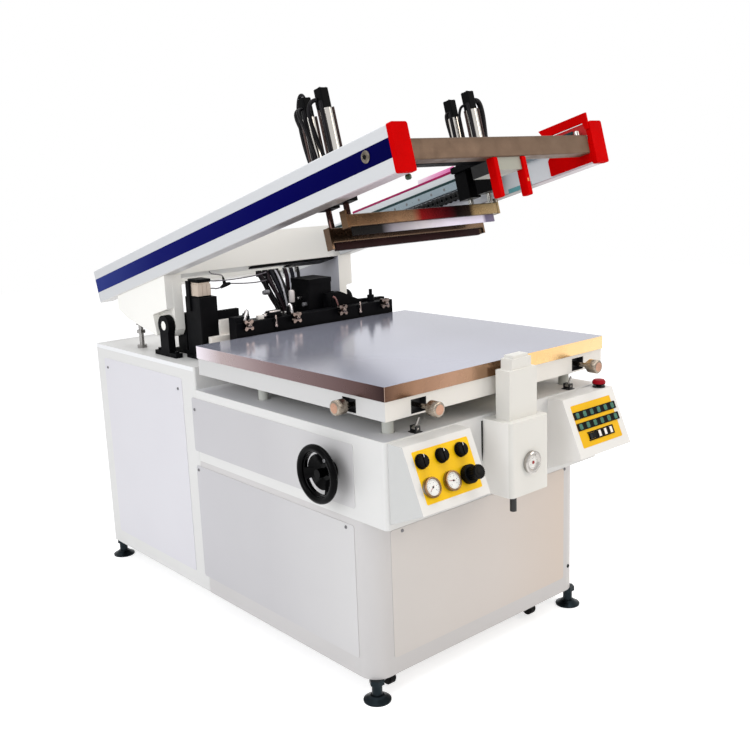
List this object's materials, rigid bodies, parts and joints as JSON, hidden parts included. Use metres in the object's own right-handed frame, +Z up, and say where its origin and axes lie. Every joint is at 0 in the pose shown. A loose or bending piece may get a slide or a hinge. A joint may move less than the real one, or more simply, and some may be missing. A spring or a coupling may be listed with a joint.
{
  "type": "flatbed screen printer",
  "caption": "Flatbed screen printer with a levelled vacuum table on a sheet-metal cabinet and a tilting head that carries the squeegee carriage on rails.",
  "frame": {"origin": "on the floor under the middle of the cabinet", "axes": "+Z up, -Y to the operator at the front, +X to the operator's right"},
  "size_m": [0.919, 1.7037, 1.5663],
  "materials": {
    "white_paint": "semi-gloss off-white enamel",
    "clear_steel": "bright machined steel",
    "stainless": "polished stainless steel",
    "chrome_cap": "bright chrome",
    "black_steel": "satin black paint",
    "black_plastic": "moulded black plastic",
    "black_rubber": "black rubber",
    "tyre_rubber": "dark grey rubber tyre",
    "aluminium": "machined aluminium",
    "skin": "satin anodised vacuum surface with polished edges",
    "red_plastic": "glossy red moulding",
    "key_plastic": "off-white keys",
    "gauge_body": "bronze-tinted bezel",
    "rail": "hardened guide rail",
    "grey_paint": "grey paint",
    "wheel_black": "glossy black phenolic",
    "urethane": "dark polyurethane"
  },
  "bodies": {
    "cabinet": {"rear_cabinet": "white_paint", "front_cabinet": "white_paint", "front_hood": "white_paint", "cover_panels": "white_paint", "levelling_feet": "chrome_cap", "rear_caster_forks": "clear_steel", "bearing_blocks": "black_steel", "drive_units": "black_steel", "register_bar": "black_steel", "left_console": "white_paint", "right_console": "white_paint", "control_bezels": "gauge_body", "open_stops": "clear_steel", "hose_bundle": "black_rubber", "post_housing": "white_paint"},
    "rear_wheels": {"rear_caster_wheels": "tyre_rubber"},
    "left_fork": {"left_caster_fork": "clear_steel"},
    "left_wheel": {"left_caster_wheel": "tyre_rubber"},
    "right_fork": {"right_caster_fork": "clear_steel"},
    "right_wheel": {"right_caster_wheel": "tyre_rubber"},
    "valve_1": {"valve_knob_1": "black_plastic"},
    "valve_2": {"valve_knob_2": "black_plastic"},
    "valve_3": {"valve_knob_3": "black_plastic"},
    "regulator": {"regulator_knob": "black_plastic"},
    "toggle_l": {"left_toggle": "clear_steel"},
    "toggle_r": {"right_toggle": "clear_steel"},
    "stop": {"stop_button": "red_plastic"},
    "rocker": {"power_switch": "black_plastic"},
    "key_1": {"start_key": "key_plastic"},
    "key_2": {"cycle_key": "key_plastic"},
    "key_3": {"vacuum_key": "key_plastic"},
    "wheel": {"hand_wheel": "wheel_black"},
    "wedge": {"lift_wedge": "clear_steel"},
    "yoke": {"lift_yoke": "clear_steel"},
    "slide": {"table_slide": "clear_steel"},
    "table": {"table_frame": "white_paint", "table_slab": "skin"},
    "x_knob": {"x_adjust_knob": "stainless"},
    "y_knob_l": {"y_adjust_knob_left": "stainless"},
    "y_knob_r": {"y_adjust_knob_right": "stainless"},
    "post": {"head_post": "white_paint"},
    "post_screw": {"post_knob": "stainless"},
    "star_1": {"star_knob_1": "stainless"},
    "star_2": {"star_knob_2": "stainless"},
    "star_3": {"star_knob_3": "stainless"},
    "star_4": {"star_knob_4": "stainless"},
    "head": {"side_beams": "white_paint", "corner_caps": "red_plastic", "front_beam": "stainless", "head_latch": "grey_paint", "swing_frame": "white_paint", "guide_rails": "rail", "drag_chain": "black_plastic"},
    "carriage": {"carriage_beam": "aluminium", "air_cylinders": "aluminium", "carriage_hoses": "black_rubber"},
    "flood": {"flood_bar": "stainless", "flood_blade": "clear_steel"},
    "squeegee": {"squeegee_bar": "stainless", "squeegee_blade": "urethane"}
  },
  "joints": [
    {"name": "head_tilt", "type": "hinge", "parent": "cabinet", "child": "head", "pos_m": [0, 0.3, 0.888], "axis": [1, 0, 0], "range_deg": [0, 15.2]},
    {"name": "carriage_slide", "type": "slide", "parent": "head", "child": "carriage", "axis": [0, 0.965, -0.2622], "range_m": [-0.22, 0.5]},
    {"name": "flood_lower", "type": "slide", "parent": "carriage", "child": "flood", "axis": [0, -0.2622, -0.965], "range_m": [0, 0.06]},
    {"name": "squeegee_lower", "type": "slide", "parent": "carriage", "child": "squeegee", "axis": [0, -0.2622, -0.965], "range_m": [0, 0.06]},
    {"name": "table_lift", "type": "slide", "parent": "cabinet", "child": "yoke", "axis": [0, 0, 1], "range_m": [-0.012, 0.012]},
    {"name": "hand_wheel_turn", "type": "hinge", "parent": "cabinet", "child": "wheel", "pos_m": [-0.474, -0.592, 0.612], "axis": [1, 0, 0], "range_deg": [-1080, 1080]},
    {"name": "wedge_slide", "type": "slide", "parent": "cabinet", "child": "wedge", "axis": [1, 0, 0], "range_m": [-0.03, 0.03]},
    {"name": "table_y", "type": "slide", "parent": "yoke", "child": "slide", "axis": [0, 1, 0], "range_m": [-0.01, 0.01]},
    {"name": "table_x", "type": "slide", "parent": "slide", "child": "table", "axis": [1, 0, 0], "range_m": [-0.01, 0.01]},
    {"name": "y_knob_left_turn", "type": "hinge", "parent": "table", "child": "y_knob_l", "pos_m": [-0.312, -0.843, 0.795], "axis": [0, -1, 0], "range_deg": [-1800, 1800]},
    {"name": "y_knob_right_turn", "type": "hinge", "parent": "table", "child": "y_knob_r", "pos_m": [0.312, -0.843, 0.795], "axis": [0, -1, 0], "range_deg": [-1800, 1800]},
    {"name": "x_knob_turn", "type": "hinge", "parent": "table", "child": "x_knob", "pos_m": [-0.4395, -0.668, 0.795], "axis": [-1, 0, 0], "range_deg": [-1800, 1800]},
    {"name": "post_rise", "type": "slide", "parent": "cabinet", "child": "post", "axis": [0, 0, 1], "range_m": [0, 0.15]},
    {"name": "post_knob_turn", "type": "hinge", "parent": "cabinet", "child": "post_screw", "pos_m": [0, -0.891, 0.597], "axis": [0, -1, 0], "range_deg": [0, 717]},
    {"name": "star_knob_1_turn", "type": "hinge", "parent": "cabinet", "child": "star_1", "pos_m": [-0.233, 0.0458, 0.896], "axis": [0, -1, 0], "range_deg": [0, 720]},
    {"name": "star_knob_2_turn", "type": "hinge", "parent": "cabinet", "child": "star_2", "pos_m": [-0.047, 0.0458, 0.896], "axis": [0, -1, 0], "range_deg": [0, 720]},
    {"name": "star_knob_3_turn", "type": "hinge", "parent": "cabinet", "child": "star_3", "pos_m": [0.145, 0.0458, 0.896], "axis": [0, -1, 0], "range_deg": [0, 720]},
    {"name": "star_knob_4_turn", "type": "hinge", "parent": "cabinet", "child": "star_4", "pos_m": [0.334, 0.0458, 0.896], "axis": [0, -1, 0], "range_deg": [0, 720]},
    {"name": "valve_knob_1_turn", "type": "hinge", "parent": "cabinet", "child": "valve_1", "pos_m": [-0.368, -0.86046, 0.67661], "axis": [0, -0.9179, 0.3968], "range_deg": [-135, 135]},
    {"name": "valve_knob_2_turn", "type": "hinge", "parent": "cabinet", "child": "valve_2", "pos_m": [-0.301, -0.86046, 0.67661], "axis": [0, -0.9179, 0.3968], "range_deg": [-135, 135]},
    {"name": "valve_knob_3_turn", "type": "hinge", "parent": "cabinet", "child": "valve_3", "pos_m": [-0.235, -0.86046, 0.67661], "axis": [0, -0.9179, 0.3968], "range_deg": [-135, 135]},
    {"name": "regulator_turn", "type": "hinge", "parent": "cabinet", "child": "regulator", "pos_m": [-0.236, -0.88585, 0.61786], "axis": [0, -0.9179, 0.3968], "range_deg": [-720, 720]},
    {"name": "left_toggle_tilt", "type": "hinge", "parent": "cabinet", "child": "toggle_l", "pos_m": [-0.302, -0.775, 0.73], "axis": [0, 1, 0], "range_deg": [-56, 0]},
    {"name": "right_toggle_tilt", "type": "hinge", "parent": "cabinet", "child": "toggle_r", "pos_m": [0.3, -0.777, 0.73], "axis": [0, 1, 0], "range_deg": [-56, 0]},
    {"name": "power_switch_rock", "type": "hinge", "parent": "cabinet", "child": "rocker", "pos_m": [0.262, -0.88627, 0.60933], "axis": [0, 0.3968, 0.9179], "range_deg": [-12, 0]},
    {"name": "stop_button_press", "type": "slide", "parent": "cabinet", "child": "stop", "axis": [0, 0, -1], "range_m": [0, 0.004], "stiffness_N_per_m": 600},
    {"name": "start_key_press", "type": "slide", "parent": "cabinet", "child": "key_1", "axis": [0, 0.9179, -0.3968], "range_m": [0, 0.0025], "stiffness_N_per_m": 400},
    {"name": "cycle_key_press", "type": "slide", "parent": "cabinet", "child": "key_2", "axis": [0, 0.9179, -0.3968], "range_m": [0, 0.0025], "stiffness_N_per_m": 400},
    {"name": "vacuum_key_press", "type": "slide", "parent": "cabinet", "child": "key_3", "axis": [0, 0.9179, -0.3968], "range_m": [0, 0.0025], "stiffness_N_per_m": 400},
    {"name": "left_caster_swivel", "type": "hinge", "parent": "cabinet", "child": "left_fork", "pos_m": [-0.331, -0.69, 0.06], "axis": [0, 0, 1], "continuous": true},
    {"name": "left_caster_spin", "type": "hinge", "parent": "left_fork", "child": "left_wheel", "pos_m": [-0.331, -0.674, 0.03], "axis": [1, 0, 0], "continuous": true},
    {"name": "right_caster_swivel", "type": "hinge", "parent": "cabinet", "child": "right_fork", "pos_m": [0.245, -0.69, 0.06], "axis": [0, 0, 1], "continuous": true},
    {"name": "right_caster_spin", "type": "hinge", "parent": "right_fork", "child": "right_wheel", "pos_m": [0.245, -0.674, 0.03], "axis": [1, 0, 0], "continuous": true},
    {"name": "rear_caster_spin", "type": "hinge", "parent": "cabinet", "child": "rear_wheels", "pos_m": [0, 0.676, 0.03], "axis": [1, 0, 0], "continuous": true}
  ],
  "couplings": [
    {"joint": "hand_wheel_turn", "follows": "table_lift", "rad_per_m": -1570.8},
    {"joint": "wedge_slide", "follows": "table_lift", "ratio": -2.5},
    {"joint": "y_knob_left_turn", "follows": "table_y", "rad_per_m": 3141.6},
    {"joint": "y_knob_right_turn", "follows": "table_y", "rad_per_m": 3141.6},
    {"joint": "x_knob_turn", "follows": "table_x", "rad_per_m": 3141.6},
    {"joint": "post_knob_turn", "follows": "post_rise", "rad_per_m": 83.333}
  ]
}
